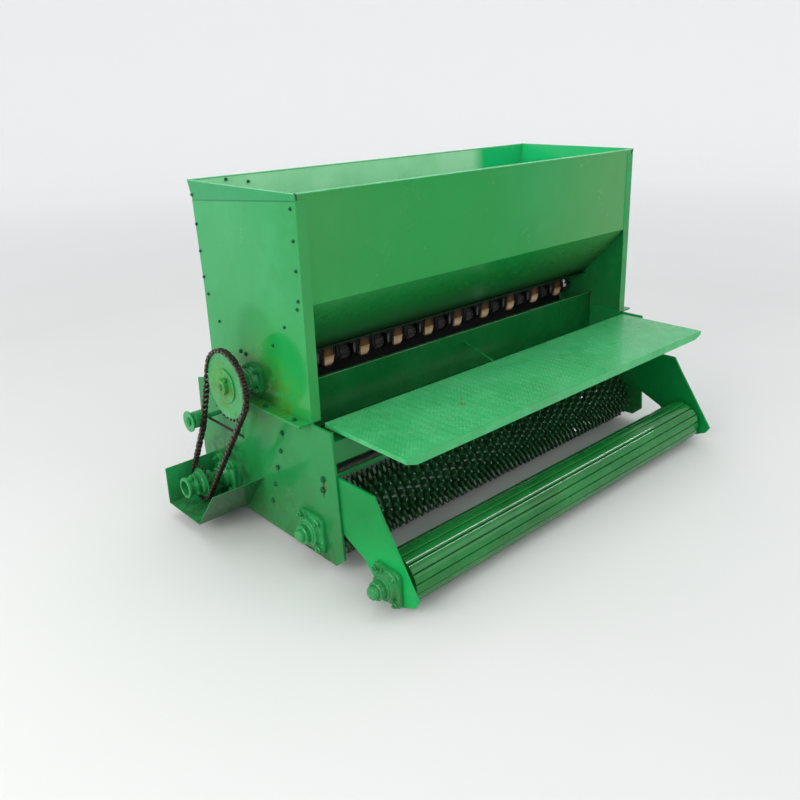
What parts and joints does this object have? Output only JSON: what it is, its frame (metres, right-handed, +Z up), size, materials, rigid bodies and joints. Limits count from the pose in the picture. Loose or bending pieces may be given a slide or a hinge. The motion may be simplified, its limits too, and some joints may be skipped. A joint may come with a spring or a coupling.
{
  "type": "grass seeder",
  "caption": "Mounted grass seeder: a seed box over metering units, chain driven from a front roller, with a toothed press roller, ribbed rear roller, footboard and hitch.",
  "frame": {"origin": "on the ground, at the middle of the machine's base box", "axes": "+Y forward, the way it is pulled; +X to the right across the machine; +Z up from the ground"},
  "size_m": [2.315, 1.52, 1.4126],
  "materials": {
    "green_paint": "gloss enamel",
    "dark_green_paint": "gloss enamel over cast rings",
    "bare_steel": "turned, lightly oiled",
    "oily_steel": "oiled roller chain",
    "black_plastic": "satin moulded",
    "cream_plastic": "moulded, aged cream"
  },
  "bodies": {
    "frame": {"end_plate_left": "green_paint", "end_plate_right": "green_paint", "hopper_rear_wall": "green_paint", "hopper_front_wall": "green_paint", "hopper_floor": "green_paint", "front_sill": "green_paint", "wind_guard": "black_plastic", "metering_housings": "black_plastic", "metering_cups": "cream_plastic", "metering_bearings": "green_paint", "seed_guard_panel": "green_paint", "stay_rod": "green_paint", "footboard": "green_paint", "footboard_gussets": "green_paint", "side_plate_left": "green_paint", "side_plate_right": "green_paint", "rear_crossbeam": "green_paint", "front_crossbeam": "green_paint", "scraper_bar": "green_paint", "arm_left": "green_paint", "arm_right": "green_paint", "toothed_roller_bearings": "green_paint", "rear_roller_bearings": "green_paint", "front_roller_bearings": "green_paint", "drive_chain": "oily_steel", "idler_stud": "green_paint", "idler_rod": "oily_steel", "chain_tray": "green_paint", "hitch_mast": "green_paint", "mast_braces": "green_paint", "hitch_plates": "green_paint", "hitch_pins": "bare_steel"},
    "metering": {"metering_shaft": "bare_steel", "metering_sprocket": "green_paint", "feed_rolls": "black_plastic"},
    "toothed_roller": {"toothed_roller_tube": "dark_green_paint", "toothed_rings": "dark_green_paint", "toothed_roller_shaft": "bare_steel"},
    "rear_roller": {"rear_roller_drum": "green_paint", "rear_roller_bars": "green_paint", "rear_roller_shaft": "bare_steel"},
    "front_roller": {"front_roller_drum": "green_paint", "front_roller_bars": "green_paint", "front_roller_shaft": "bare_steel", "drive_sprocket": "green_paint", "drive_sleeve": "green_paint"},
    "idler": {"chain_idler": "green_paint"}
  },
  "joints": [
    {"name": "front_roller_turn", "type": "hinge", "parent": "frame", "child": "front_roller", "pos_m": [0.0775, 0.437, 0.158], "axis": [-1, 0, 0], "continuous": true},
    {"name": "metering_turn", "type": "hinge", "parent": "frame", "child": "metering", "pos_m": [0.0775, 0.134, 0.677], "axis": [-1, 0, 0], "continuous": true},
    {"name": "toothed_roller_turn", "type": "hinge", "parent": "frame", "child": "toothed_roller", "pos_m": [0.0775, -0.192, 0.14], "axis": [-1, 0, 0], "continuous": true},
    {"name": "rear_roller_turn", "type": "hinge", "parent": "frame", "child": "rear_roller", "pos_m": [0.0775, -0.615, 0.099], "axis": [-1, 0, 0], "continuous": true},
    {"name": "idler_turn", "type": "hinge", "parent": "frame", "child": "idler", "pos_m": [-1.0625, 0.402, 0.461], "axis": [-1, 0, 0], "continuous": true}
  ],
  "couplings": [
    {"joint": "metering_turn", "follows": "front_roller_turn", "ratio": 0.52941}
  ]
}
